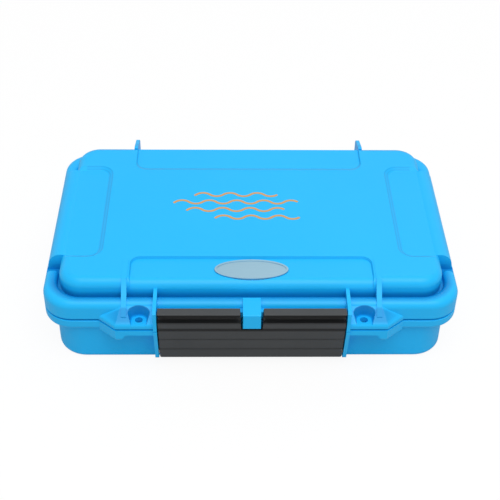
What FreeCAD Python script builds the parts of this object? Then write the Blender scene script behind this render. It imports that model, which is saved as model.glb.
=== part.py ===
import FreeCAD, Part
import math
import os

from FreeCAD import Vector

# Overall sizes of the closed box, in millimetres
box_length = 206.0
box_depth = 128.0
box_height = 47.0
parting_height = 28.5
parting_gap = 0.4
latch_reach = 9.0
hinge_reach = 9.0
latch_half_length = 45.5
hinge_half_length = 64.5

# Rim that runs round both halves
rim_corner_radius = 15.0
lid_rim_height = 11.0
lid_rim_rounding = 3.7
base_rim_height = 6.0
base_rim_rounding = 2.2
parting_chamfer = 0.25
lid_lip_chamfer = 1.0

# Raised top of the lid and the groove at its foot
top_inset = 8.0
top_rear_inset = 4.8
top_corner_radius = 11.5
top_rounding = 4.4
groove_width = 1.6
groove_depth = 3.6
groove_rounding = 2.2
panel_depth = 1.2

# Walls of the tray and the lid
tray_side_inset = 5.0
tray_front_inset = 3.0
tray_corner_radius = 15.0
tray_bottom_rounding = 2.8
tray_side_wall = 3.0
tray_front_wall = 4.0
tray_floor = 2.5
lid_wall = 2.8
lid_ceiling = 2.6
cavity_rounding = 1.4

# Pins and running fits
hinge_pin_radius = 1.25
latch_pin_radius = 1.2
pin_clearance = 0.05
knuckle_gap = 0.3

# One overrun serves every cut and every seat that is sunk into a wall
overrun = 2.0

half_length = box_length / 2
half_depth = box_depth / 2
front_reach = half_depth + latch_reach
rear_reach = half_depth + hinge_reach
lid_bottom = parting_height
rim_top = lid_bottom + lid_rim_height
base_top = parting_height - parting_gap
rim_bottom = parting_height - base_rim_height
panel_level = box_height - panel_depth
ceiling_level = panel_level - lid_ceiling
groove_bottom = rim_top - groove_depth
top_half_length = half_length - top_inset
top_front_y = -half_depth + top_inset
top_rear_y = half_depth - top_rear_inset


# Block with its four upright edges rounded
def rounded_block(x_low, x_high, y_low, y_high, z_low, z_high, radius):
    size = Vector(x_high - x_low, y_high - y_low, z_high - z_low)
    block = Part.makeBox(size.x, size.y, size.z, Vector(x_low, y_low, z_low))
    upright = [edge for edge in block.Edges if edge.Length == abs(edge.BoundBox.ZLength)]
    upright = [edge for edge in upright if edge.BoundBox.XLength + edge.BoundBox.YLength < edge.Length / 2]
    limit = 0.49 * min(size.x, size.y)
    return block.makeFillet(min(radius, limit), upright)


# The same block, centred on the box
def centred_block(half_x, half_y, z_low, z_high, radius):
    return rounded_block(-half_x, half_x, -half_y, half_y, z_low, z_high, radius)


# Rounding of the edges that lie level at one height
def round_level(shape, height, radius):
    level = []
    for edge in shape.Edges:
        box = edge.BoundBox
        if abs(box.ZMin - height) + abs(box.ZMax - height) < radius / 100:
            level.append(edge)
    return shape.makeFillet(radius, level)


def chamfer_level(shape, height, width):
    level = []
    for edge in shape.Edges:
        box = edge.BoundBox
        if abs(box.ZMin - height) + abs(box.ZMax - height) < width / 100:
            level.append(edge)
    return shape.makeChamfer(width, level)


# Closed outline of straight sides
def outline(points):
    return Part.Face(Part.makePolygon(points + [points[0]]))


# Prism whose outline of (y, z) pairs is drawn from the side
def side_prism(pairs, x_low, x_high):
    face = outline([Vector(x_low, y, z) for y, z in pairs])
    return face.extrude(Vector(x_high - x_low, 0, 0))


# Prism whose outline of (x, z) pairs is drawn from the front
def front_prism(pairs, y_low, y_high):
    face = outline([Vector(x, y_low, z) for x, z in pairs])
    return face.extrude(Vector(0, y_high - y_low, 0))


# Prism whose outline of (x, y) pairs is drawn from above
def plan_prism(pairs, z_low, z_high):
    face = outline([Vector(x, y, z_low) for x, y in pairs])
    return face.extrude(Vector(0, 0, z_high - z_low))


# Round bar along the length of the box
def bar(x_low, x_high, y, z, radius):
    return Part.makeCylinder(radius, x_high - x_low, Vector(x_low, y, z), Vector(1, 0, 0))


def upright_bar(x, y, z_low, z_high, radius):
    return Part.makeCylinder(radius, z_high - z_low, Vector(x, y, z_low), Vector(0, 0, 1))


# The shape with its mirror image on the other end of the box
def both_ends(shape):
    return [shape, shape.mirror(Vector(0, 0, 0), Vector(1, 0, 0))]


# Upright block with an oval outline
def oval_block(x, y, half_x, half_y, z_low, z_high):
    ring = Part.Ellipse(Vector(x, y, z_low), half_x, half_y).toShape()
    return Part.Face(Part.Wire(ring)).extrude(Vector(0, 0, z_high - z_low))


def fuse_all(first, others):
    return first.multiFuse(others).removeSplitter()


# Every solid of a group as one plain shape
def save(shape, name):
    solids = shape.Solids
    kept = solids[0] if len(solids) == 1 else Part.makeCompound(solids)
    kept.exportStep("parts/" + name + ".step")
    print(name, len(solids), round(kept.Volume), kept.isValid())


os.makedirs("parts", exist_ok=True)

# Ribs that stand on both sides of the latch
latch_end_gap = 0.6
rib_thickness = 1.8
rib_reach = 8.0
rib_front_height = 12.7
rib_rear_height = 14.1
rib_nose = 1.6
rib_inner_x = latch_half_length + latch_end_gap
rib_outer_x = rib_inner_x + rib_thickness
rib_front = half_depth + rib_reach

# Padlock lugs: their outline from above, and the hole with its clearance scoop
lug_reach = 7.0
lug_hole_offset = 7.0
lug_square_offset = 11.5
lug_slope_length = 8.4
lug_hole_radius = 1.9
lug_hole_setback = 4.4
lug_scoop_floor_half = 3.6
lug_scoop_floor_depth = 2.8
lug_scoop_top_half = 6.8
lug_scoop_top_depth = 3.3
lug_scoop_height = 7.5
lug_lid_edge = 2.9
lug_base_thickness = 3.0
lug_base_height = 7.5
lug_rounding = 2.2
lug_bracket_rounding = 2.2
lug_chamfer = 0.8
lug_relief_offset = 6.8
lug_relief_slope = 2.6
lug_front = half_depth + lug_reach
lug_hole_x = rib_outer_x + lug_hole_offset
lug_hole_y = -(lug_front - lug_hole_setback)
lug_square_x = lug_hole_x + lug_square_offset
lug_rim_x = lug_square_x + lug_slope_length
lug_base_corner_x = lug_hole_x + lug_relief_offset
lug_outline = [
    (rib_inner_x, -half_depth + tray_front_inset),
    (rib_inner_x, -lug_front),
    (lug_square_x, -lug_front),
    (lug_rim_x, -half_depth),
    (lug_rim_x, -half_depth + tray_front_inset),
]

# Latch pivot at the foot of the base
pivot_setback = 8.8
pivot_height = 7.9
latch_foot_radius = 3.3
rib_foot_radius = 3.5
pivot_y = -(front_reach - pivot_setback)

# Hinge at the back
hinge_setback = 4.0
hinge_height = parting_height
knuckle_radius = 3.8
hinge_y = rear_reach - hinge_setback
cheek_thickness = 2.0
cheek_inner_x = hinge_half_length - cheek_thickness
outer_knuckle_length = 7.6
middle_knuckle_half = 24.7
base_knuckle_low = middle_knuckle_half + knuckle_gap
base_knuckle_high = cheek_inner_x - outer_knuckle_length - knuckle_gap

# Gasket channel in the base rim and the relief above it in the lid
gasket_inset = 4.2
gasket_radius = 1.2
gasket_side_clearance = 0.2
gasket_top_clearance = 0.3
gasket_stand = 1.0
gasket_corner_radius = rim_corner_radius - gasket_inset
channel_half_width = gasket_radius + gasket_side_clearance
gasket_centre_z = base_top + gasket_stand - gasket_radius
channel_bottom = gasket_centre_z - gasket_radius


# Ring-shaped block that follows the rim, between two insets
def rim_ring(outer_inset, inner_inset, z_low, z_high):
    outer = centred_block(half_length - outer_inset, half_depth - outer_inset, z_low, z_high,
                          rim_corner_radius - outer_inset)
    inner = centred_block(half_length - inner_inset, half_depth - inner_inset, z_low - overrun,
                          z_high + overrun, rim_corner_radius - inner_inset)
    return outer.cut(inner)


# Base shell: the tray with its rim
tray_half_length = half_length - tray_side_inset
tray_half_depth = half_depth - tray_front_inset
tray = centred_block(tray_half_length, tray_half_depth, 0, rim_bottom + overrun, tray_corner_radius)
tray = round_level(tray, 0, tray_bottom_rounding)
base_rim = centred_block(half_length, half_depth, rim_bottom, base_top, rim_corner_radius)
base_rim = round_level(base_rim, rim_bottom, base_rim_rounding)
base_rim = chamfer_level(base_rim, base_top, parting_chamfer)

# Base lugs: full height at the outer end, a thin shelf beside the latch
lug_bottom = parting_height - lug_base_height
base_lug = plan_prism(lug_outline, lug_bottom, base_top)
lug_relief = front_prism([
    (rib_inner_x - overrun, lug_bottom - overrun),
    (lug_base_corner_x + lug_relief_slope, lug_bottom - overrun),
    (lug_base_corner_x + lug_relief_slope, lug_bottom),
    (lug_base_corner_x, base_top - lug_base_thickness),
    (rib_inner_x - overrun, base_top - lug_base_thickness),
], -lug_front - overrun, -half_depth)
base_lug = base_lug.cut(lug_relief)
soft_edges = []
for edge in base_lug.Edges:
    box = edge.BoundBox
    outside = box.YMin < -half_depth - lug_bracket_rounding and box.XMin > lug_base_corner_x
    if outside and abs(box.ZMax - lug_bottom) < lug_bracket_rounding / 100:
        soft_edges.append(edge)
base_lug = base_lug.makeFillet(lug_bracket_rounding, soft_edges)

# Base ribs: they lean in from the shelf to a round foot at the latch pin
rib_wall_y = -tray_half_depth + overrun
base_rib = side_prism([
    (rib_wall_y, base_top),
    (-rib_front, base_top),
    (-rib_front, base_top - rib_nose),
    (pivot_y - rib_foot_radius, pivot_height),
    (pivot_y, pivot_height - rib_foot_radius),
    (rib_wall_y, pivot_height - rib_foot_radius),
], rib_inner_x, rib_outer_x)
rib_foot = bar(rib_inner_x, rib_outer_x, pivot_y, pivot_height, rib_foot_radius)
base_rib = base_rib.fuse(rib_foot)

# Base knuckles: two long barrels on arms under the rim
knuckle_arm_seat = half_depth - overrun
base_arm = side_prism([
    (knuckle_arm_seat, rim_bottom + base_rim_rounding),
    (half_depth, rim_bottom + base_rim_rounding),
    (hinge_y + knuckle_radius / 2, hinge_height - knuckle_radius),
    (hinge_y, hinge_height),
    (hinge_y - knuckle_radius, base_top),
    (knuckle_arm_seat, base_top),
], base_knuckle_low, base_knuckle_high)
base_barrel = bar(base_knuckle_low, base_knuckle_high, hinge_y, hinge_height, knuckle_radius)
base_knuckle = base_arm.fuse(base_barrel)

base_pieces = both_ends(base_lug) + both_ends(base_rib) + both_ends(base_knuckle)
base_shell = fuse_all(tray, [base_rim] + base_pieces)

cavity_half_length = tray_half_length - tray_side_wall
cavity_half_depth = tray_half_depth - tray_front_wall
cavity = centred_block(cavity_half_length, cavity_half_depth, tray_floor, base_top + overrun,
                       tray_corner_radius - tray_front_wall)
cavity = round_level(cavity, tray_floor, cavity_rounding)
gasket_channel = rim_ring(gasket_inset - channel_half_width, gasket_inset + channel_half_width,
                          channel_bottom, base_top + overrun)

# Shallow bay in the tray's front that the latch's foot turns in
bay_depth = 0.8
latch_bay = Part.makeBox(2 * rib_inner_x, overrun + bay_depth, rim_bottom,
                         Vector(-rib_inner_x, -tray_half_depth - overrun, 0))
hinge_bore = bar(-half_length, half_length, hinge_y, hinge_height, hinge_pin_radius + pin_clearance)
latch_bore = bar(-half_length, half_length, pivot_y, pivot_height, latch_pin_radius + pin_clearance)
lug_hole = upright_bar(lug_hole_x, lug_hole_y, rim_bottom, box_height, lug_hole_radius)
base_shell = base_shell.cut([cavity, gasket_channel, latch_bay, hinge_bore, latch_bore] + both_ends(lug_hole))
save(base_shell, "base_shell")

# Gasket: a round rubber ring that lies in the channel of the base rim
gasket_half_length = half_length - gasket_inset
gasket_half_depth = half_depth - gasket_inset
ring_core = centred_block(gasket_half_length, gasket_half_depth, gasket_centre_z,
                          gasket_centre_z + gasket_radius, gasket_corner_radius)
core_edges = []
for edge in ring_core.Edges:
    box = edge.BoundBox
    if abs(box.ZMax - gasket_centre_z) + abs(box.ZMin - gasket_centre_z) < gasket_radius / 100:
        core_edges.append(edge)
ring_path = Part.Wire(Part.__sortEdges__(core_edges))
ring_start = Vector(0, -gasket_half_depth, gasket_centre_z)
ring_section = Part.Wire(Part.makeCircle(gasket_radius, ring_start, Vector(1, 0, 0)))
gasket = ring_path.makePipeShell([ring_section], True, False)
save(gasket, "gasket")

# Steel pins of the hinge and the latch
pin_end_setback = 0.5
hinge_pin_half = hinge_half_length - pin_end_setback
latch_pin_half = rib_outer_x - pin_end_setback / 2
save(bar(-hinge_pin_half, hinge_pin_half, hinge_y, hinge_height, hinge_pin_radius), "hinge_pin")
save(bar(-latch_pin_half, latch_pin_half, pivot_y, pivot_height, latch_pin_radius), "latch_pin")

# Lid shell: the rim with a groove cut inside it
lid_rim = centred_block(half_length, half_depth, lid_bottom, rim_top, rim_corner_radius)
lid_rim = round_level(lid_rim, rim_top, lid_rim_rounding)
lid_rim = chamfer_level(lid_rim, lid_bottom, lid_lip_chamfer)

# Narrow groove at the foot of the raised top, rounded along its outer edge; the raised top covers its rear
groove_x = top_half_length + groove_width
groove_front_y = top_front_y - groove_width
groove_rear_y = top_rear_y - 2 * groove_width
groove_block = rounded_block(-groove_x, groove_x, groove_front_y, groove_rear_y, groove_bottom,
                             rim_top + overrun, top_corner_radius + groove_width)
lid_rim = lid_rim.cut(groove_block)
groove_edges = []
for edge in lid_rim.Edges:
    box = edge.BoundBox
    level = abs(box.ZMin - rim_top) + abs(box.ZMax - rim_top) < groove_rounding / 100
    if level and box.YMin > groove_front_y - groove_width and box.YMax < groove_rear_y + groove_width:
        groove_edges.append(edge)
lid_rim = lid_rim.makeFillet(groove_rounding, groove_edges)

# Lid lugs: one ramp falls from the rim to the front edge, another to the sloping edge
lug_ramp_pairs = [
    (-half_depth + tray_front_inset, lid_bottom),
    (-lug_front, lid_bottom),
    (-lug_front, lid_bottom + lug_lid_edge),
    (-half_depth + lid_rim_rounding / 3, rim_top - lid_rim_rounding / 3),
    (-half_depth + tray_front_inset, rim_top - lid_rim_rounding / 3),
]
lug_ramp = side_prism(lug_ramp_pairs, rib_inner_x, lug_rim_x)
slope_pairs = lug_ramp_pairs[1:4] + [(0, rim_top - lid_rim_rounding / 3), (0, lid_bottom)]
slope_ramp = side_prism(slope_pairs, -half_depth, half_depth)
lug_slope_angle = math.degrees(math.atan2(lug_reach, lug_slope_length))
slope_ramp.translate(Vector(lug_square_x, 0, 0))
slope_ramp.rotate(Vector(lug_square_x, -lug_front, 0), Vector(0, 0, 1), lug_slope_angle)
lid_lug = plan_prism(lug_outline, lid_bottom, rim_top).common(lug_ramp).common(slope_ramp)
lid_lug = chamfer_level(lid_lug, lid_bottom, lug_chamfer)
soft_edges = []
for edge in lid_lug.Edges:
    box = edge.BoundBox
    level = box.ZLength < lug_rounding / 100 and box.ZMin > lid_bottom + lug_lid_edge / 2
    if level and box.YMax < -half_depth + lug_rounding / 100 and box.XMax > lug_hole_x:
        soft_edges.append(edge)
lid_lug = lid_lug.makeFillet(lug_rounding, soft_edges)

# Scoop round each lug hole: its sides flare upwards and its front is open
scoop_floor = lid_bottom + lug_lid_edge
scoop_top = scoop_floor + lug_scoop_height
floor_oval = Part.Wire(Part.Ellipse(Vector(lug_hole_x, lug_hole_y, scoop_floor), lug_scoop_floor_half,
                                    lug_scoop_floor_depth).toShape())
top_oval = Part.Wire(Part.Ellipse(Vector(lug_hole_x, lug_hole_y, scoop_top), lug_scoop_top_half,
                                  lug_scoop_top_depth).toShape())
scoop_mouth = front_prism([
    (lug_hole_x - lug_scoop_floor_half, scoop_floor),
    (lug_hole_x + lug_scoop_floor_half, scoop_floor),
    (lug_hole_x + lug_scoop_top_half, scoop_top),
    (lug_hole_x - lug_scoop_top_half, scoop_top),
], -lug_front - overrun, lug_hole_y)
lug_scoop = Part.makeLoft([floor_oval, top_oval], True, True).fuse(scoop_mouth)

# Sizes of the four shallow panels in the raised top
front_panel_side_gap = 1.4
front_panel_depth = 18.4
front_panel_corner = 4.5
front_panel_slope = 0.6
rear_panel_side_gap = 0.5
rear_panel_depth = 19.5
rear_panel_corner = 6.0
rear_panel_slope = 3.2
rear_panel_end_slope = 0.5
side_panel_width = 26.0
side_panel_front_setback = 21.2
side_panel_rear_setback = 21.7
side_panel_corner = 5.0
side_panel_slope = 2.8
side_panel_depth = 1.4

# Gussets outside the lugs, from the raised top across the groove to the rim
gusset_offset = 6.0
gusset_thickness = 2.6
gusset_length = 17.0
gusset_shoulder = 1.8
gusset_foot_reach = 3.9
gusset_foot_rise = 6.1
gusset_proud = 0.3
gusset_low_x = lug_hole_x + gusset_offset
gusset_high_x = gusset_low_x + gusset_thickness
gusset_rear_y = top_front_y + gusset_length
gusset_foot_y = -half_depth - gusset_foot_reach
gusset_foot_height = lid_bottom + gusset_foot_rise

front_panel_half = gusset_low_x - front_panel_side_gap
front_panel_rear_y = top_front_y + front_panel_depth
rear_panel_half = cheek_inner_x - rear_panel_side_gap
rear_panel_front_y = top_rear_y - rear_panel_depth
side_panel_inner_x = half_length - side_panel_width
side_panel_front_y = top_front_y + side_panel_front_setback
side_panel_rear_y = top_rear_y - side_panel_rear_setback

# The groove leaves the rim through a slot at each end of the side panels
slot_width = 4.6
slot_depth = 3.0
slot_bottom = rim_top - slot_depth
side_slots = []
for slot_low in [side_panel_front_y - slot_width, side_panel_rear_y]:
    slot = Part.makeBox(top_inset + overrun, slot_width, rim_top, Vector(top_half_length, slot_low, slot_bottom))
    side_slots.extend(both_ends(slot))

lid_frame = fuse_all(lid_rim, both_ends(lid_lug)).cut(both_ends(lug_scoop) + side_slots)

# Raised top, rounded along its upper edge
raised_top = rounded_block(-top_half_length, top_half_length, top_front_y, top_rear_y,
                           lid_bottom + overrun, box_height, top_corner_radius)
raised_top = round_level(raised_top, box_height, top_rounding)


# Closed outline with rounded corners, lying level
def rounded_outline(x_low, x_high, y_low, y_high, height, radius):
    block = rounded_block(x_low, x_high, y_low, y_high, height, height + overrun, radius)
    for face in block.Faces:
        if face.BoundBox.ZMax < height + overrun / 2:
            return face.OuterWire


# Shallow panel with sloping sides: its floor outline is given, the slopes widen it upwards
def panel_cut(x_low, x_high, y_low, y_high, level, corner, slope_x, slope_y):
    floor_line = rounded_outline(x_low, x_high, y_low, y_high, level, corner)
    rim_corner = corner + min(slope_x, slope_y)
    rim_line = rounded_outline(x_low - slope_x, x_high + slope_x, y_low - slope_y, y_high + slope_y,
                               box_height, rim_corner)
    above = rounded_block(x_low - slope_x, x_high + slope_x, y_low - slope_y, y_high + slope_y,
                          box_height, box_height + overrun, rim_corner)
    return Part.makeLoft([floor_line, rim_line], True, True).fuse(above)


side_level = box_height - side_panel_depth
front_panel = panel_cut(-front_panel_half, front_panel_half, -half_depth - overrun, front_panel_rear_y,
                        panel_level, front_panel_corner, front_panel_slope, front_panel_slope)
rear_panel = panel_cut(-rear_panel_half, rear_panel_half, rear_panel_front_y, half_depth + overrun,
                       panel_level, rear_panel_corner, rear_panel_end_slope, rear_panel_slope)
side_panel = panel_cut(side_panel_inner_x, half_length + overrun, side_panel_front_y, side_panel_rear_y,
                       side_level, side_panel_corner, side_panel_slope, side_panel_slope)
raised_top = raised_top.cut([front_panel, rear_panel] + both_ends(side_panel))

# The front panel's outer edge is rolled like the rest of the raised top
roll_block = Part.makeBox(2 * front_panel_half, overrun + top_rounding, top_rounding + overrun,
                          Vector(-front_panel_half, top_front_y - overrun, panel_level - top_rounding))
roll_core = bar(-front_panel_half, front_panel_half, top_front_y + top_rounding, panel_level - top_rounding,
                top_rounding)
raised_top = raised_top.cut(roll_block.cut(roll_core))

# Side pads: they carry the side panels out over the groove and roll down to the rim
pad_inset = 1.3
pad_roll_inset = 10.0
pad_foot_drop = 1.5
roll_share = 0.3
pad_outer_x = half_length - pad_inset
pad_roll_x = half_length - pad_roll_inset
pad_foot_height = rim_top - pad_foot_drop
pad_roll_start = Vector(pad_roll_x, 0, side_level)
pad_roll_end = Vector(pad_outer_x, 0, pad_foot_height)
pad_roll_mid = (pad_roll_start + pad_roll_end) / 2 + Vector(
    roll_share * (side_level - pad_foot_height), 0, roll_share * (pad_outer_x - pad_roll_x))
pad_inner_x = side_panel_inner_x + side_panel_corner
pad_low = Vector(pad_outer_x, 0, groove_bottom - overrun)
pad_low_inner = Vector(pad_inner_x, 0, groove_bottom - overrun)
pad_high_inner = Vector(pad_inner_x, 0, side_level)
pad_wire = Part.Wire([
    Part.Arc(pad_roll_start, pad_roll_mid, pad_roll_end).toShape(),
    Part.LineSegment(pad_roll_end, pad_low).toShape(),
    Part.LineSegment(pad_low, pad_low_inner).toShape(),
    Part.LineSegment(pad_low_inner, pad_high_inner).toShape(),
    Part.LineSegment(pad_high_inner, pad_roll_start).toShape(),
])
pad_wire.translate(Vector(0, side_panel_front_y, 0))
side_pad = Part.Face(pad_wire).extrude(Vector(0, side_panel_rear_y - side_panel_front_y, 0))

gusset = side_prism([
    (gusset_rear_y, panel_level - panel_depth),
    (gusset_rear_y - gusset_proud, box_height + gusset_proud),
    (top_front_y + gusset_shoulder, box_height + gusset_proud),
    (top_front_y - gusset_proud, box_height - gusset_shoulder),
    (gusset_foot_y, gusset_foot_height),
    (gusset_foot_y, lid_bottom + overrun),
    (gusset_rear_y, lid_bottom + overrun),
], gusset_low_x, gusset_high_x)

# Lid ribs beside the latch
lid_rib = side_prism([
    (top_front_y + overrun, lid_bottom),
    (top_front_y + overrun, lid_bottom + rib_rear_height),
    (-rib_front + rib_nose, lid_bottom + rib_front_height),
    (-rib_front, lid_bottom + rib_front_height - rib_nose),
    (-rib_front, lid_bottom),
], rib_inner_x, rib_outer_x)

# Hinge cheeks: tall plates that run from the raised top to the hinge pin
cheek_rear_drop = 3.8
cheek_nose_drop = 5.8
cheek = side_prism([
    (top_rear_y - overrun, lid_bottom + overrun),
    (top_rear_y - overrun, box_height),
    (top_rear_y, box_height),
    (rear_reach - rib_nose, box_height - cheek_rear_drop),
    (rear_reach, box_height - cheek_nose_drop),
    (rear_reach, hinge_height + knuckle_radius / 2),
    (hinge_y + knuckle_radius, hinge_height),
    (half_depth + parting_gap, lid_bottom),
    (half_depth - overrun, lid_bottom + overrun),
], cheek_inner_x, hinge_half_length)
cheek_barrel = bar(cheek_inner_x, hinge_half_length, hinge_y, hinge_height, knuckle_radius)
cheek = cheek.fuse(cheek_barrel)


# Lid knuckle: a barrel on an arm that stands on the rim's rear wall
def lid_knuckle(x_low, x_high):
    arm_top = lid_bottom + 2 * knuckle_radius
    arm = side_prism([
        (knuckle_arm_seat, lid_bottom),
        (hinge_y, lid_bottom),
        (hinge_y + knuckle_radius * 0.9, hinge_height + knuckle_radius / 3),
        (half_depth + knuckle_radius / 2, arm_top),
        (knuckle_arm_seat, arm_top),
    ], x_low, x_high)
    return arm.fuse(bar(x_low, x_high, hinge_y, hinge_height, knuckle_radius))


outer_knuckle = lid_knuckle(cheek_inner_x - outer_knuckle_length, cheek_inner_x)
middle_knuckle = lid_knuckle(-middle_knuckle_half, middle_knuckle_half)

# Centre tab that fills the latch's notch
tab_half_width = 4.4
tab_rise = 2.7
tab_height = 9.0
tab_rounding = 0.6
tab_bottom = lid_bottom + tab_rise
tab_seat_y = -half_depth + lid_rim_rounding
tab = Part.makeBox(2 * tab_half_width, front_reach + tab_seat_y, tab_height,
                   Vector(-tab_half_width, -front_reach, tab_bottom))
tab_front_edges = []
for edge in tab.Edges:
    if abs(edge.BoundBox.YMax + front_reach) < tab_rounding / 10:
        tab_front_edges.append(edge)
tab = tab.makeFillet(tab_rounding, tab_front_edges)

# Catch bar on the rim, behind the latch
catch_end_gap = 0.3
catch_reach = 2.8
catch_rise = 4.9
catch_height = 3.2
catch_half_length = latch_half_length - catch_end_gap
catch_low = lid_bottom + catch_rise
catch_high = catch_low + catch_height
catch_front_y = -half_depth - catch_reach
catch_seat_y = -half_depth + overrun
catch_bar = side_prism([
    (catch_seat_y, catch_low - catch_reach / 2),
    (-half_depth, catch_low - catch_reach / 2),
    (catch_front_y, catch_low),
    (catch_front_y, catch_high),
    (catch_seat_y, catch_high),
], -catch_half_length, catch_half_length)

lid_pieces = [raised_top, middle_knuckle, tab, catch_bar]
for piece in [side_pad, gusset, lid_rib, cheek, outer_knuckle]:
    lid_pieces.extend(both_ends(piece))
lid_shell = fuse_all(lid_frame, lid_pieces)

# Inside of the lid, the relief over the gasket, the bores and the badge's seat
lid_cavity = rounded_block(-top_half_length + lid_wall, top_half_length - lid_wall, top_front_y + lid_wall,
                           top_rear_y - lid_wall, lid_bottom - overrun, ceiling_level,
                           top_corner_radius - lid_wall)
lid_cavity = round_level(lid_cavity, ceiling_level, cavity_rounding)
relief_half_width = channel_half_width + gasket_side_clearance
gasket_relief = rim_ring(gasket_inset - relief_half_width, gasket_inset + relief_half_width,
                         lid_bottom - overrun, base_top + gasket_stand + gasket_top_clearance)

badge_half_length = 18.25
badge_half_depth = 7.25
badge_setback = 10.0
badge_thickness = 1.2
badge_seat_depth = 0.6
badge_clearance = 0.1
badge_rim = 1.0
badge_dish = 0.25
badge_y = top_front_y + badge_setback
badge_bottom = panel_level - badge_seat_depth
badge_seat = oval_block(0, badge_y, badge_half_length + badge_clearance,
                        badge_half_depth + badge_clearance, badge_bottom, box_height)
lid_shell = lid_shell.cut([lid_cavity, gasket_relief, hinge_bore, badge_seat] + both_ends(lug_hole))
save(lid_shell, "lid_shell")

# Badge plate: a bare oval with a raised rim
badge_top = badge_bottom + badge_thickness
badge = oval_block(0, badge_y, badge_half_length, badge_half_depth, badge_bottom, badge_top)
badge_hollow = oval_block(0, badge_y, badge_half_length - badge_rim, badge_half_depth - badge_rim,
                          badge_top - badge_dish, box_height)
save(badge.cut(badge_hollow), "badge_plate")

# Latch: a leaning front with a finger groove under its lip
latch_skin = 2.4
latch_lip_rise = 12.4
latch_lip_depth = 4.4
latch_lip_thickness = 0.7
latch_lip_slope = 0.6
latch_shoulder_rise = 6.9
latch_groove_depth = 3.6
latch_groove_ledge = 1.0
latch_back_wall = 1.2
latch_nose_gap = 0.3
latch_nose_thickness = 1.5
latch_corner = 3.0
latch_edge = 0.3
latch_lip_top = lid_bottom + latch_lip_rise
latch_shoulder = lid_bottom + latch_shoulder_rise
latch_nose_low = catch_high + latch_nose_gap
latch_nose_high = latch_nose_low + latch_nose_thickness
latch_lip_rear_y = -front_reach + latch_lip_depth
latch_inner_y = -front_reach + latch_groove_depth + latch_back_wall
latch_nose_y = catch_front_y - latch_nose_gap

lip_low = Vector(0, -front_reach, latch_lip_top - latch_lip_thickness)
shoulder = Vector(0, -front_reach, latch_shoulder)
groove_low = Vector(0, -front_reach + latch_groove_ledge, latch_shoulder)
groove_high = Vector(0, -front_reach + latch_groove_ledge, lip_low.z)
groove_mid = Vector(0, -front_reach + latch_groove_depth, (latch_shoulder + lip_low.z) / 2)
foot_front = Vector(0, pivot_y - latch_foot_radius, pivot_height)
foot_rear = Vector(0, pivot_y - latch_foot_radius + latch_skin, pivot_height)
latch_corners = [
    groove_high,
    lip_low,
    Vector(0, -front_reach, latch_lip_top - latch_edge),
    Vector(0, -front_reach + latch_edge, latch_lip_top),
    Vector(0, latch_lip_rear_y, latch_lip_top),
    Vector(0, latch_inner_y, latch_lip_top - latch_lip_slope),
    Vector(0, latch_inner_y, latch_nose_high),
    Vector(0, latch_nose_y, latch_nose_high),
    Vector(0, latch_nose_y, latch_nose_low),
    Vector(0, latch_inner_y, latch_nose_low - latch_nose_gap),
    Vector(0, -front_reach + latch_skin, latch_shoulder - latch_skin),
    foot_rear,
    foot_front,
    shoulder,
    groove_low,
]
latch_sides = [Part.LineSegment(a, b).toShape() for a, b in zip(latch_corners, latch_corners[1:])]
latch_sides.append(Part.Arc(groove_low, groove_mid, groove_high).toShape())
latch_wire = Part.Wire(latch_sides)
latch_wire.translate(Vector(-latch_half_length, 0, 0))
latch_body = Part.Face(latch_wire).extrude(Vector(2 * latch_half_length, 0, 0))
latch_foot = bar(-latch_half_length, latch_half_length, pivot_y, pivot_height, latch_foot_radius)

# Stiffening webs behind the latch's front
web_thickness = 2.0
web_inner_x = 14.0
web_top = latch_shoulder - 2 * latch_skin
web_starts = [-latch_half_length, -web_inner_x - web_thickness, web_inner_x,
              latch_half_length - web_thickness]
webs = []
for start in web_starts:
    web = side_prism([
        (-front_reach + latch_skin, web_top),
        (-front_reach + latch_skin + web_thickness, web_top),
        (pivot_y + latch_foot_radius / 2, pivot_height + latch_foot_radius / 2),
        (pivot_y, pivot_height),
        (pivot_y - latch_foot_radius + latch_skin / 2, pivot_height),
    ], start, start + web_thickness)
    webs.append(web)
latch = fuse_all(latch_body, [latch_foot] + webs)

# Notch for the tab, fine grip lines, rounded lower corners and the pin's bore
notch_gap = 1.2
notch_half_low = 5.2
notch_half_high = 5.8
notch_bottom = tab_bottom - notch_gap
notch = front_prism([
    (-notch_half_low, notch_bottom),
    (notch_half_low, notch_bottom),
    (notch_half_high, latch_lip_top + overrun),
    (-notch_half_high, latch_lip_top + overrun),
], -front_reach - overrun, latch_nose_y + overrun)
grip_line_shares = [0.79, 0.5, 0.2]
grip_line_size = 0.9
grip_line_depth = 0.45
lean = (foot_front.y + front_reach) / (latch_shoulder - pivot_height)
grip_lines = []
for share in grip_line_shares:
    height = pivot_height + share * (latch_shoulder - pivot_height)
    face_y = -front_reach + lean * (latch_shoulder - height)
    line = side_prism([
        (face_y - overrun, height - grip_line_size - lean * grip_line_size),
        (face_y + grip_line_depth, height),
        (face_y - overrun, height + grip_line_size + lean * grip_line_size),
    ], -latch_half_length - overrun, latch_half_length + overrun)
    grip_lines.append(line)
corner_low = pivot_height - latch_foot_radius - overrun
corner_block = Part.makeBox(latch_corner + overrun, front_reach + pivot_y + 2 * latch_foot_radius,
                            latch_corner + overrun,
                            Vector(latch_half_length - latch_corner, -front_reach, corner_low))
corner_round = Part.makeCylinder(latch_corner, front_reach + pivot_y + 2 * latch_foot_radius,
                                 Vector(latch_half_length - latch_corner, -front_reach,
                                        corner_low + overrun + latch_corner), Vector(0, 1, 0))
corner_cut = corner_block.cut(corner_round)
latch = latch.cut([notch, latch_bore] + grip_lines + both_ends(corner_cut))
save(latch, "latch")

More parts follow.
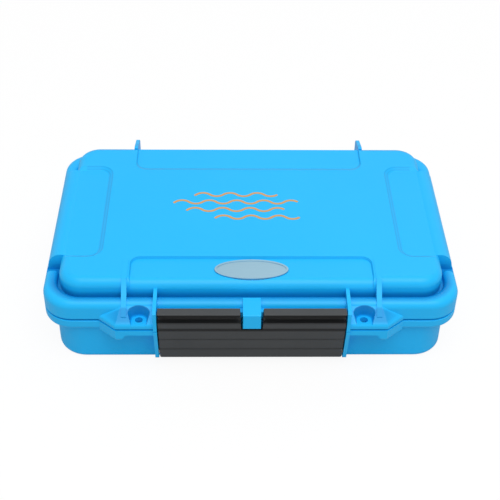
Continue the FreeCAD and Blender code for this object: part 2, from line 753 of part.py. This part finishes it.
# Foam mats: a sheet glued to the tray's floor, another to the lid's ceiling
foam_edge_clearance = 2.2
mat_thickness = 3.0
base_mat_top = tray_floor + mat_thickness
lid_mat_bottom = ceiling_level - mat_thickness
base_mat_half_length = cavity_half_length - foam_edge_clearance
base_mat_half_depth = cavity_half_depth - foam_edge_clearance
lid_mat_half_length = top_half_length - lid_wall - foam_edge_clearance
lid_mat_front_y = top_front_y + lid_wall + foam_edge_clearance
lid_mat_rear_y = top_rear_y - lid_wall - foam_edge_clearance
base_mat_corner = tray_corner_radius - tray_front_wall - foam_edge_clearance
lid_mat_corner = top_corner_radius - lid_wall - foam_edge_clearance
base_mat = centred_block(base_mat_half_length, base_mat_half_depth, tray_floor, base_mat_top,
                         base_mat_corner)
lid_mat = rounded_block(-lid_mat_half_length, lid_mat_half_length, lid_mat_front_y, lid_mat_rear_y,
                        lid_mat_bottom, ceiling_level, lid_mat_corner)
save(base_mat, "base_foam_mat")
save(lid_mat, "lid_foam_mat")

# Foam strips: rows that hold the flies, the lid's set between the base's
strip_edge_margin = 9.2
strip_width = 6.0
base_strip_height = 8.5
lid_strip_height = 6.0
strip_chamfer = 0.8
strip_end_margin = 3.0
base_strip_count = 9
lid_strip_count = 8
strip_pitch = 2 * (base_mat_half_depth - strip_edge_margin) / (base_strip_count - 1)
base_strip_half = base_mat_half_length - strip_end_margin
lid_strip_half = lid_mat_half_length - strip_end_margin


# Strip with its two long outer edges bevelled; it stands up from the base and hangs in the lid
def foam_strip(middle_y, seat_z, crest, half_x):
    shoulder_z = crest - strip_chamfer if crest > seat_z else crest + strip_chamfer
    half_width = strip_width / 2
    return side_prism([
        (middle_y - half_width, seat_z),
        (middle_y + half_width, seat_z),
        (middle_y + half_width, shoulder_z),
        (middle_y + half_width - strip_chamfer, crest),
        (middle_y - half_width + strip_chamfer, crest),
        (middle_y - half_width, shoulder_z),
    ], -half_x, half_x)


for number in range(base_strip_count):
    middle = (number - (base_strip_count - 1) / 2) * strip_pitch
    strip = foam_strip(middle, base_mat_top, base_mat_top + base_strip_height, base_strip_half)
    save(strip, "base_foam_strip_%02d" % (number + 1))
for number in range(lid_strip_count):
    middle = (number - (lid_strip_count - 1) / 2) * strip_pitch
    strip = foam_strip(middle, lid_mat_bottom, lid_mat_bottom - lid_strip_height, lid_strip_half)
    save(strip, "lid_foam_strip_%02d" % (number + 1))
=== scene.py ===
import math

import bpy
from mathutils import Matrix, Vector


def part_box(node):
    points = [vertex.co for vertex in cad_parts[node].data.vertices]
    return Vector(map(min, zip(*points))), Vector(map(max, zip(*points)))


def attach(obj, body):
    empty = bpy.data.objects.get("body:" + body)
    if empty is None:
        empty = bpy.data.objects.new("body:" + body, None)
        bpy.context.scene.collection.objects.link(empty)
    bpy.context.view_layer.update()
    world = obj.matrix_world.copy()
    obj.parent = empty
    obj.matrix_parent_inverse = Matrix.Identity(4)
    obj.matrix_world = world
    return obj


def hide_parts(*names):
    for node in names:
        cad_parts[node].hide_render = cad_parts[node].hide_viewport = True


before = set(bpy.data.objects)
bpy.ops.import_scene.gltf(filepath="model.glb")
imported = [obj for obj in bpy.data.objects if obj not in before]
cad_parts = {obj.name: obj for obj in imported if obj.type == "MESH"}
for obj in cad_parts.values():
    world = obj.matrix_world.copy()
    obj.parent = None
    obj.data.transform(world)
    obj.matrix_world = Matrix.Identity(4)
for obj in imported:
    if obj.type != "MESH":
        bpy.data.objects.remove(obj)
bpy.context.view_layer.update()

bpy.ops.object.select_all(action="DESELECT")


# Base shell
# The tray of the box, one injection moulding of blue plastic with its rim, ribs and knuckles.
# The mould leaves a fine even grain on it, and the colour drifts a little along the flow.
class Strand:
    """One output in a material's tree. Sums, differences and products of strands add Math nodes."""

    def __init__(self, tree, socket=None):
        self.tree = tree
        self.socket = socket

    def add(self, kind, settings, values, output=0):
        """Adds a node, sets it up, and fills its sockets with values or with strands."""
        node = self.tree.nodes.new("ShaderNode" + kind)
        for name, setting in settings.items():
            if name == "stops":
                stops = node.color_ramp.elements
                while len(stops) < len(setting):
                    stops.new(1.0)
                for stop, (position, colour) in zip(stops, setting):
                    stop.position = position
                    stop.color = colour
            else:
                setattr(node, name, setting)
        for name, value in values.items():
            if isinstance(value, Strand):
                self.tree.links.new(value.socket, node.inputs[name])
            else:
                node.inputs[name].default_value = value
        return Strand(self.tree, node.outputs[output])

    def maths(self, operation, first, second=0.0):
        return self.add("Math", {"operation": operation}, {0: first, 1: second})

    def at_least(self, floor):
        return self.maths("MAXIMUM", self, floor)

    def __abs__(self):
        return self.maths("ABSOLUTE", self)

    def __add__(self, other):
        return self.maths("ADD", self, other)

    def __radd__(self, other):
        return self.maths("ADD", other, self)

    def __sub__(self, other):
        return self.maths("SUBTRACT", self, other)

    def __rsub__(self, other):
        return self.maths("SUBTRACT", other, self)

    def __mul__(self, other):
        return self.maths("MULTIPLY", self, other)

    def __rmul__(self, other):
        return self.maths("MULTIPLY", other, self)


def new_finish(name, plain_values):
    """A material, its shader, and the place on the piece as a strand."""
    material = bpy.data.materials.new(name)
    material.use_nodes = True
    tree = material.node_tree
    shader = tree.nodes["Principled BSDF"]
    for socket, value in plain_values.items():
        shader.inputs[socket].default_value = value
    place = Strand(tree).add("TexCoord", {}, {}, "Object")
    return material, shader, place


def feed(shader, socket, strand):
    strand.tree.links.new(strand.socket, shader.inputs[socket])


def noise(place, scale, detail, roughness):
    values = {"Vector": place, "Scale": scale, "Detail": detail, "Roughness": roughness}
    return place.add("TexNoise", {}, values)


def blend(share, first, second):
    """The first colour where the share is 0, and the second where it is 1."""
    share_socket, first_socket, second_socket, colour_output = 0, 6, 7, 2
    values = {share_socket: share, first_socket: first, second_socket: second}
    return share.add("Mix", {"data_type": "RGBA"}, values, colour_output)


def bumps(pattern, strength, rise):
    """Makes a pattern stand out by its rise in metres, where the strength is 1."""
    return pattern.add("Bump", {}, {"Strength": strength, "Distance": rise, "Height": pattern})


def paint(piece, material):
    if piece.material_slots:
        for slot in piece.material_slots:
            slot.material = material
    else:
        piece.data.materials.append(material)


def blue_plastic(name):
    """The plastic of both shells. Its colour is handed back, because painted shade is laid on the lid's."""
    plastic, shader, place = new_finish(name, {"Specular IOR Level": 0.28, "IOR": 1.5})
    drift = noise(place, scale=16.0, detail=2.0, roughness=0.5)
    grain = noise(place, scale=2400.0, detail=3.0, roughness=0.6)
    smear = noise(place, scale=90.0, detail=4.0, roughness=0.65)
    blue = blend(drift * 0.7 + grain * 0.3, (0.006, 0.445, 0.870, 1.0), (0.010, 0.490, 0.955, 1.0))
    feed(shader, "Roughness", 0.30 + grain * 0.10 + smear * 0.12)
    feed(shader, "Normal", bumps(grain, strength=0.22, rise=0.00006))
    return plastic, shader, place, blue


base_plastic, shader, _, blue = blue_plastic("base_blue_plastic")
feed(shader, "Base Color", blue)
paint(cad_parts["base_shell"], base_plastic)


# Hinge pin and latch pin
# Two plain rods of drawn steel. The long one runs through the knuckles at the back, the short
# one through the latch's foot. Drawing leaves fine scratches that run along them.
def stroked(place, along, crosswise, detail, roughness):
    """Fine strokes along the length of a brushed or drawn piece."""
    stretched = place.add("Mapping", {}, {"Vector": place, "Scale": (along, crosswise, crosswise)})
    return noise(stretched, scale=1.0, detail=detail, roughness=roughness)


drawn_steel, shader, place = new_finish("drawn_steel", {"Metallic": 1.0})
scratches = stroked(place, along=60.0, crosswise=5200.0, detail=4.0, roughness=0.7)
feed(shader, "Base Color", blend(scratches, (0.40, 0.41, 0.42, 1.0), (0.68, 0.68, 0.69, 1.0)))
feed(shader, "Roughness", 0.22 + scratches * 0.22)
feed(shader, "Normal", bumps(scratches, strength=0.2, rise=0.00003))
paint(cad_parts["hinge_pin"], drawn_steel)
paint(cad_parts["latch_pin"], drawn_steel)


# Gasket
# A soft round ring of black rubber, pressed into the channel of the base's rim.
# Its skin is dull, with a bloom of paler dust in patches.
black_rubber, shader, place = new_finish("black_rubber", {"Specular IOR Level": 0.3})
bloom = noise(place, scale=130.0, detail=5.0, roughness=0.7)
skin = noise(place, scale=3500.0, detail=2.0, roughness=0.5)
rubber = bloom.add("ValToRGB", {"stops": [
    (0.40, (0.011, 0.011, 0.012, 1.0)),
    (0.75, (0.034, 0.034, 0.035, 1.0)),
]}, {"Fac": bloom})
feed(shader, "Base Color", rubber)
feed(shader, "Roughness", 0.52 + bloom * 0.3)
feed(shader, "Normal", bumps(skin, strength=0.25, rise=0.00004))
paint(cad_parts["gasket"], black_rubber)


# Base foam mat
# A sheet of closed-cell foam, glued flat on the tray's floor. Its corners follow the tray and
# its cut edge is soft. The skin is dark grey, with pores about half a millimetre across.
same_place = 0.000001  # Corners that are nearer than this, in metres, count as one place


def ramp(strand, start, end):
    """Goes from 0 at the start to 1 at the end, and stays level beyond them."""
    return strand.add("MapRange", {}, {"Value": strand, "From Min": start, "From Max": end})


def closed_cell(name, dark, pale, pore_scale):
    foam, shader, place = new_finish(name, {"Specular IOR Level": 0.2, "Sheen Weight": 0.25})
    values = {"Vector": place, "Scale": pore_scale, "Randomness": 1.0}
    pores = place.add("TexVoronoi", {"feature": "F1"}, values)
    patches = noise(place, scale=60.0, detail=4.0, roughness=0.6)
    dimple = ramp(pores, 0.05, 0.62)
    feed(shader, "Base Color", blend(patches * 0.55 + dimple * 0.45, dark, pale))
    feed(shader, "Roughness", 0.80 + patches * 0.16)
    feed(shader, "Normal", bumps(dimple, strength=0.45, rise=0.00012))
    return foam


def pick_edges(piece, wanted):
    """Selects, in edit mode, the edges whose two ends pass the test."""
    bpy.ops.mesh.select_mode(type="EDGE")
    bpy.ops.mesh.select_all(action="DESELECT")
    bpy.ops.object.mode_set(mode="OBJECT")
    mesh = piece.data
    for edge in mesh.edges:
        a, b = (mesh.vertices[i].co for i in edge.vertices)
        edge.select = wanted(a, b)
    bpy.ops.object.mode_set(mode="EDIT")


def foam_block(name, node):
    """A block as large as the node that it stands for, and the node's two corners."""
    low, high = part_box(node)
    bpy.ops.object.select_all(action="DESELECT")
    bpy.ops.mesh.primitive_cube_add(size=1.0, location=(low + high) / 2, scale=high - low)
    block = bpy.context.object
    block.name = name
    bpy.ops.object.transform_apply(location=True, rotation=True, scale=True)
    return block, low, high


def cut_mat(name, node, corner, soft_edge):
    mat, low, high = foam_block(name, node)
    bpy.ops.object.mode_set(mode="EDIT")
    pick_edges(mat, lambda a, b: abs(a.z - b.z) > (high.z - low.z) / 2)
    bpy.ops.mesh.bevel(offset=corner, offset_type="OFFSET", segments=8)
    pick_edges(mat, lambda a, b: abs(a.z - b.z) < same_place and (a.xy - b.xy).length > same_place)
    bpy.ops.mesh.bevel(offset=soft_edge, offset_type="OFFSET", segments=3)
    bpy.ops.object.mode_set(mode="OBJECT")
    bpy.ops.object.shade_smooth_by_angle(angle=math.radians(40))
    return mat


mat_foam = closed_cell("dark_foam", (0.035, 0.037, 0.040, 1.0), (0.085, 0.088, 0.094, 1.0), pore_scale=1900.0)
base_mat = cut_mat("base_mat", "base_foam_mat", corner=0.0088, soft_edge=0.0005)
paint(base_mat, mat_foam)
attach(base_mat, "base")
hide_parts("base_foam_mat")


# Base foam rows
# Nine ridges of pale foam on the mat. Each has its long edges eased, and a row of knife slits
# across it that a hook's bend is pushed into. The foam has sprung open a little at each slit.
crest_ease = 0.0008
slit_pitch = 0.0062
slit_open = 0.0008
base_row_count = 9


def slit_row(name, node, crest, slit_depth):
    """One ridge, with its crest up where crest is 1 and down where it is -1."""
    row, low, high = foam_block(name, node)
    crest_z = high.z if crest > 0 else low.z
    bpy.ops.object.mode_set(mode="EDIT")
    pick_edges(row, lambda a, b: abs(a.z - crest_z) + abs(b.z - crest_z) < same_place
               and abs(a.y - b.y) < same_place)
    bpy.ops.mesh.bevel(offset=crest_ease, offset_type="OFFSET", segments=3)

    # Each slit is three cuts: its root, and a lip on either side
    slit_count = int((high.x - low.x) / slit_pitch)
    first = (low.x + high.x - (slit_count - 1) * slit_pitch) / 2
    roots = [first + slit_pitch * number for number in range(slit_count)]
    for root in roots:
        for offset in (-slit_open / 2, 0.0, slit_open / 2):
            bpy.ops.mesh.select_all(action="SELECT")
            bpy.ops.mesh.bisect(plane_co=(root + offset, 0.0, 0.0), plane_no=(1.0, 0.0, 0.0))

    # The roots are pushed into the foam
    bpy.ops.mesh.select_mode(type="VERT")
    bpy.ops.mesh.select_all(action="DESELECT")
    bpy.ops.object.mode_set(mode="OBJECT")
    for vertex in row.data.vertices:
        on_crest = (vertex.co.z - crest_z) * crest > -1.5 * crest_ease
        vertex.select = on_crest and min(abs(vertex.co.x - root) for root in roots) < slit_open / 8
    bpy.ops.object.mode_set(mode="EDIT")
    bpy.ops.transform.translate(value=(0.0, 0.0, -crest * slit_depth))
    bpy.ops.object.mode_set(mode="OBJECT")

    soften = row.modifiers.new("soften", "BEVEL")
    soften.width = 0.00022
    soften.segments = 2
    soften.limit_method = "ANGLE"
    soften.angle_limit = math.radians(50)
    bpy.ops.object.modifier_apply(modifier=soften.name)
    bpy.ops.object.shade_smooth_by_angle(angle=math.radians(50))
    return row


def like_row(first_row, name, first_node, node):
    """A copy of the first row with a mesh of its own, moved to its place."""
    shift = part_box(node)[0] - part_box(first_node)[0]
    bpy.ops.object.select_all(action="DESELECT")
    first_row.select_set(True)
    bpy.context.view_layer.objects.active = first_row
    bpy.ops.object.duplicate(linked=False)
    row = bpy.context.object
    row.name = name
    row.data.name = name
    row.location = shift
    bpy.ops.object.transform_apply(location=True, rotation=True, scale=True)
    return row


row_foam = closed_cell("pale_foam", (0.50, 0.51, 0.51, 1.0), (0.68, 0.69, 0.68, 1.0), pore_scale=2300.0)
base_rows = [slit_row("base_row_01", "base_foam_strip_01", crest=1, slit_depth=0.0052)]
for number in range(2, base_row_count + 1):
    base_rows.append(like_row(base_rows[0], "base_row_%02d" % number, "base_foam_strip_01",
                              "base_foam_strip_%02d" % number))
for number, row in enumerate(base_rows, start=1):
    paint(row, row_foam)
    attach(row, "base")
    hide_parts("base_foam_strip_%02d" % number)


# Lid shell
# The lid is the second moulding, in the same blue plastic: its rim, raised top, side pads,
# lugs, ribs, catch bar, tab and hinge cheeks are all one piece. Painted shade darkens its hollows.

# The sizes that the painted shade goes by, measured from the box's middle and from its foot
lid_top = 0.0470
panel_level = 0.0458
top_side = 0.0950
top_front = -0.0560
top_corner = 0.0115
rim_top = 0.0395
rim_front = -0.0640
groove_floor = 0.0359
slot_floor = 0.0365
slot_middles = (-0.0371, 0.0398)
slot_half_length = 0.0023
hole_side = 0.0549
hole_depth = -0.0666
scoop_floor = 0.0314
scoop_radius = 0.0037
scoop_flare = 0.43


def band(strand, start, full, still_full, end):
    """Goes from 0 to 1 between the first two marks, and back between the last two."""
    return ramp(strand, start, full) * ramp(strand, end, still_full)


def distance(along, across):
    """How far off a place is that lies so far along and so far across."""
    return along.maths("SQRT", along * along + across * across)


lid_plastic, shader, place, blue = blue_plastic("lid_blue_plastic")
across, depth, height = (place.add("SeparateXYZ", {}, {"Vector": place}, axis) for axis in "XYZ")
side = abs(across)

# Painted shade lies mostly in the groove at the foot of the raised top, along the front. It goes
# by the distance from the top's outline, which has round corners, and fades towards the back.
past_side = (side - (top_side - top_corner)).at_least(0.0)
past_front = ((top_front + top_corner) - depth).at_least(0.0)
from_top = distance(past_side, past_front) - top_corner
over_rim = height - rim_top
on_wall = band(from_top, -0.0035, -0.0025, 0.0010, 0.0015) * ramp(over_rim, 0.0013, -0.0009)
on_rim = band(from_top, 0.0010, 0.0015, 0.0034, 0.0066) * ramp(over_rim, 0.0007, 0.0002)
in_groove = (on_wall * 0.75 + on_rim) * ramp(height - groove_floor, -0.0009, -0.0001)
painted_shade = in_groove * ramp(depth, -0.030, -0.050) * 0.85

# Painted shade also lies in the slots at the ends of the side pads
low_on_side = band(height - slot_floor, -0.0005, -0.0002, 0.0005, 0.0065)
low_on_side = low_on_side * ramp(side - top_side, -0.0015, 0.0005)
for slot_middle in slot_middles:
    in_slot = low_on_side * ramp(abs(depth - slot_middle), slot_half_length + 0.0003, slot_half_length)
    painted_shade = painted_shade + in_slot * 0.6

# Painted shade lies in the scoops round the lug holes, which flare upwards, but less behind than beside
over_scoop = height - scoop_floor
beside_hole = side - hole_side
squash = 1.3 + over_scoop * 100.0
behind_hole = (depth - hole_depth).at_least(0.0) * squash
past_scoop = distance(beside_hole, behind_hole) - over_scoop * scoop_flare
in_scoop = ramp(past_scoop, scoop_radius + 0.0003, scoop_radius)
in_scoop = in_scoop * band(over_scoop, 0.0001, 0.0014, 0.0066, 0.0086)

# Painted shade lies thinner on the tops of the lugs, outwards from the scoops
on_lug = band(beside_hole, 0.0026, 0.0041, 0.0111, 0.0181)
on_lug = on_lug * ramp(depth - rim_front, -0.0001, -0.0010) * ramp(over_scoop, 0.0001, 0.0016)
painted_shade = painted_shade.at_least(in_scoop * 0.85).at_least(on_lug * 0.55)

# Painted shade draws thin lines along the upper edges, the walls and the feet of the panels' steps
well_inside = ramp(side - top_side, -0.0050, -0.0060) * ramp(depth - top_front, 0.0050, 0.0060)
step_middle = (lid_top + panel_level) / 2
for line_height, strength in [(lid_top - 0.00024, 0.34), (step_middle, 0.14), (panel_level + 0.00022, 0.34)]:
    painted_shade = painted_shade + ramp(abs(height - line_height), 0.00021, 0.00008) * well_inside * strength

# The painted shade blends the blue towards a deep blue
feed(shader, "Base Color", blend(painted_shade, blue, (0.001, 0.200, 0.550, 1.0)))
paint(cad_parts["lid_shell"], lid_plastic)


# Printed waves
# Four wavy lines in orange ink, screen-printed on the raised top: a plain water pattern.
# Each line is a thin film of ink with rounded ends, swung through equal arcs.
ink_film = 0.00006
line_width = 0.0014
arc_radius = 0.0052
half_arc = math.radians(44)

orange_ink, shader, place = new_finish("orange_ink", {"Specular IOR Level": 0.4})
speckle = noise(place, scale=1500.0, detail=3.0, roughness=0.6)
feed(shader, "Base Color", blend(speckle, (0.54, 0.280, 0.080, 1.0), (0.64, 0.370, 0.135, 1.0)))
feed(shader, "Roughness", 0.38 + speckle * 0.2)
feed(shader, "Normal", bumps(speckle, strength=0.2, rise=0.00003))


def wave_line(name, left, middle_y, arc_count):
    """A square end of ink, swung on through equal arcs, to the right and to the left in turn."""
    bpy.ops.object.select_all(action="DESELECT")
    bpy.ops.mesh.primitive_plane_add(size=line_width, location=(left, middle_y, lid_top),
                                     rotation=(0.0, 0.0, half_arc))
    line = bpy.context.object
    line.name = name
    bpy.ops.object.transform_apply(location=True, rotation=True, scale=True)
    heading = Vector((math.cos(half_arc), math.sin(half_arc), 0.0))
    sideways = Vector((-heading.y, heading.x, 0.0))
    front = Vector((left, middle_y, lid_top)) + heading * line_width / 2
    bpy.ops.object.mode_set(mode="EDIT")
    pick_edges(line, lambda a, b: abs((a - front).dot(heading)) + abs((b - front).dot(heading)) < same_place)
    turn = -1
    for _ in range(arc_count):
        centre = front + sideways * arc_radius * turn
        bpy.ops.mesh.spin(steps=14, angle=2 * half_arc, center=centre, axis=(0.0, 0.0, float(-turn)))
        swing = Matrix.Rotation(2 * half_arc * turn, 3, "Z")
        front = centre + swing @ (front - centre)
        sideways = swing @ sideways
        turn = -turn
    bpy.ops.mesh.select_all(action="SELECT")
    bpy.ops.mesh.remove_doubles(threshold=same_place)
    bpy.ops.mesh.normals_make_consistent(inside=False)

    # A corner that only one face has is at an end of the line, and is rounded
    bpy.ops.mesh.select_mode(type="VERT")
    bpy.ops.mesh.select_all(action="DESELECT")
    bpy.ops.object.mode_set(mode="OBJECT")
    faces_at = [0] * len(line.data.vertices)
    for face in line.data.polygons:
        for corner in face.vertices:
            faces_at[corner] += 1
    for vertex in line.data.vertices:
        vertex.select = faces_at[vertex.index] == 1
    bpy.ops.object.mode_set(mode="EDIT")
    bpy.ops.mesh.bevel(offset=line_width * 0.45, offset_type="OFFSET", segments=4, affect="VERTICES")
    bpy.ops.object.mode_set(mode="OBJECT")
    if line.data.polygons[0].normal.z < 0:
        line.data.flip_normals()

    film = line.modifiers.new("film", "SOLIDIFY")
    film.thickness = ink_film
    film.offset = 1.0
    bpy.ops.object.modifier_apply(modifier=film.name)
    return line


wave_lines = [
    wave_line("wave_line_1", left=-0.0290, middle_y=0.0135, arc_count=6),
    wave_line("wave_line_2", left=-0.0400, middle_y=0.0070, arc_count=9),
    wave_line("wave_line_3", left=-0.0330, middle_y=0.0005, arc_count=7),
    wave_line("wave_line_4", left=-0.0180, middle_y=-0.0060, arc_count=6),
]
for line in wave_lines:
    paint(line, orange_ink)
    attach(line, "lid")


# Badge plate
# An oval of brushed aluminium with a raised rim, let into the front panel. It is bare, and the
# brush has left fine strokes along its length.
brushed_silver, shader, place = new_finish("brushed_silver", {"Metallic": 1.0})
strokes = stroked(place, along=70.0, crosswise=4200.0, detail=5.0, roughness=0.75)
feed(shader, "Base Color", blend(strokes, (0.25, 0.42, 0.53, 1.0), (0.38, 0.57, 0.68, 1.0)))
feed(shader, "Roughness", 0.30 + strokes * 0.2)
feed(shader, "Normal", bumps(strokes, strength=0.15, rise=0.00003))
paint(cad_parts["badge_plate"], brushed_silver)


# Lid foam mat and rows
# The same foam in the lid: a sheet on the ceiling, and eight lower ridges that hang between
# the rows of the base when the box is shut.
lid_row_count = 8

lid_mat = cut_mat("lid_mat", "lid_foam_mat", corner=0.0050, soft_edge=0.0005)
paint(lid_mat, mat_foam)
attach(lid_mat, "lid")
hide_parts("lid_foam_mat")

lid_rows = [slit_row("lid_row_01", "lid_foam_strip_01", crest=-1, slit_depth=0.0036)]
for number in range(2, lid_row_count + 1):
    lid_rows.append(like_row(lid_rows[0], "lid_row_%02d" % number, "lid_foam_strip_01",
                             "lid_foam_strip_%02d" % number))
for number, row in enumerate(lid_rows, start=1):
    paint(row, row_foam)
    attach(row, "lid")
    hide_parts("lid_foam_strip_%02d" % number)


# Latch
# One wide moulding of charcoal plastic that turns on the latch pin. Its face is satin, and
# a little paler where fingers rub it. Its finger groove and the three grip lines are darkened with painted
# shade.

# The heights of the groove's lower and upper edge, and each grip line's height and the strength of its
# painted shade
finger_groove = (0.0338, 0.0356, 0.0400, 0.0404)
grip_lines = [(0.0296, 0.90), (0.0216, 0.15), (0.0134, 0.20)]

charcoal_plastic, shader, place = new_finish("charcoal_plastic", {"Specular IOR Level": 0.30, "IOR": 1.5})
grain = noise(place, scale=2100.0, detail=3.0, roughness=0.6)
rub = noise(place, scale=45.0, detail=5.0, roughness=0.65)
charcoal = blend(rub * 0.75 + grain * 0.25, (0.034, 0.037, 0.039, 1.0), (0.064, 0.069, 0.072, 1.0))
height = place.add("SeparateXYZ", {}, {"Vector": place}, "Z")
# Painted shade in the finger groove under the lip and along the grip lines
painted_shade = band(height, *finger_groove) * 0.95
for line_height, strength in grip_lines:
    painted_shade = painted_shade + ramp(abs(height - line_height), 0.0017, 0.0006) * strength
feed(shader, "Base Color", blend(painted_shade, charcoal, (0.0010, 0.0012, 0.0014, 1.0)))
feed(shader, "Roughness", 0.36 + grain * 0.12 + rub * 0.12)
feed(shader, "Normal", bumps(grain, strength=0.25, rise=0.00006))
paint(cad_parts["latch"], charcoal_plastic)


# Floor
# A wide sheet that the box stands on. The camera sees it nearly white, with the box's soft
# shadow, while it lights the box from below only as grey paper does.
glow_share = 0.92

bpy.ops.object.select_all(action="DESELECT")
bpy.ops.mesh.primitive_plane_add(size=8.0, location=(0.0, 0.0, 0.0))
floor = bpy.context.object
floor.name = "floor"
floor_paper = bpy.data.materials.new("floor_paper")
floor_paper.use_nodes = True
tree = floor_paper.node_tree
grey_sheet = tree.nodes["Principled BSDF"]
grey_sheet.inputs["Base Color"].default_value = (0.60, 0.60, 0.60, 1.0)
grey_sheet.inputs["Roughness"].default_value = 0.9
grey_sheet.inputs["Specular IOR Level"].default_value = 0.1
camera_ray = Strand(tree).add("LightPath", {}, {}, "Is Camera Ray")
white_sheet = camera_ray.add("BsdfDiffuse", {}, {"Color": (0.95, 0.95, 0.95, 1.0)})
glow = camera_ray.add("Emission", {}, {"Color": (1.0, 1.0, 1.0, 1.0), "Strength": 1.0})
seen_sheet = camera_ray.add("MixShader", {}, {0: glow_share, 1: white_sheet, 2: glow})
lit_sheet = Strand(tree, grey_sheet.outputs[0])
sheet = camera_ray.add("MixShader", {}, {0: camera_ray, 1: lit_sheet, 2: seen_sheet})
tree.links.new(sheet.socket, tree.nodes["Material Output"].inputs["Surface"])
paint(floor, floor_paper)


# Studio light
# A pale room all round, which looks white to the camera and in gloss, a broad soft panel high
# in front of the box, and a weak one behind it. Each panel is turned to the box.
mirrored_share = 0.8

world = bpy.data.worlds.new("pale_room")
bpy.context.scene.world = world
world.use_nodes = True
tree = world.node_tree
tree.nodes["Background"].inputs["Color"].default_value = (0.97, 0.98, 1.0, 1.0)
tree.nodes["Background"].inputs["Strength"].default_value = 0.60
room = Strand(tree, tree.nodes["Background"].outputs[0])
by_camera, through_glass, mirrored = (room.add("LightPath", {}, {}, "Is %s Ray" % kind)
                                      for kind in ("Camera", "Transmission", "Glossy"))
white_share = by_camera + through_glass + mirrored * mirrored_share
backdrop = room.add("Background", {}, {"Color": (1.0, 1.0, 1.0, 1.0), "Strength": 1.0})
shown = room.add("MixShader", {}, {0: white_share, 1: room, 2: backdrop})
tree.links.new(shown.socket, tree.nodes["World Output"].inputs["Surface"])

for name, spot, size, power in [
    ("high_panel_light", (0.10, -0.50, 1.30), 1.0, 11.5),
    ("rear_panel_light", (0.40, 0.80, 1.10), 0.9, 1.0),
]:
    bpy.ops.object.light_add(type="AREA", location=spot)
    lamp = bpy.context.object
    lamp.name = name
    lamp.data.shape = "SQUARE"
    lamp.data.size = size
    lamp.data.energy = power
    lamp.rotation_euler = (-Vector(spot)).to_track_quat("-Z", "Y").to_euler()


# Camera
# Above the front edge and looking down at forty degrees, a hair to the left and slightly
# tilted. Its focal length and shift are in pixels of the 500-pixel picture.
image_pixels = 500.0
focal_pixels = 1068.6
shift_pixels = 0.7
camera_spot = Vector((-0.01201, -0.44376, 0.39250))
aim = Vector((0.0, 0.0, 0.020))
tilt = math.radians(1.05)

bpy.ops.object.camera_add(location=camera_spot)
camera = bpy.context.object
camera.name = "camera"
camera.data.sensor_width = 36.0
camera.data.lens = camera.data.sensor_width * focal_pixels / image_pixels
camera.data.shift_x = shift_pixels / image_pixels
camera.data.clip_start = 0.01
looking = (aim - camera_spot).to_track_quat("-Z", "Y").to_matrix()
camera.rotation_euler = (looking @ Matrix.Rotation(tilt, 3, "Z")).to_euler()
bpy.context.scene.camera = camera

bpy.context.scene.view_settings.view_transform = "Standard"
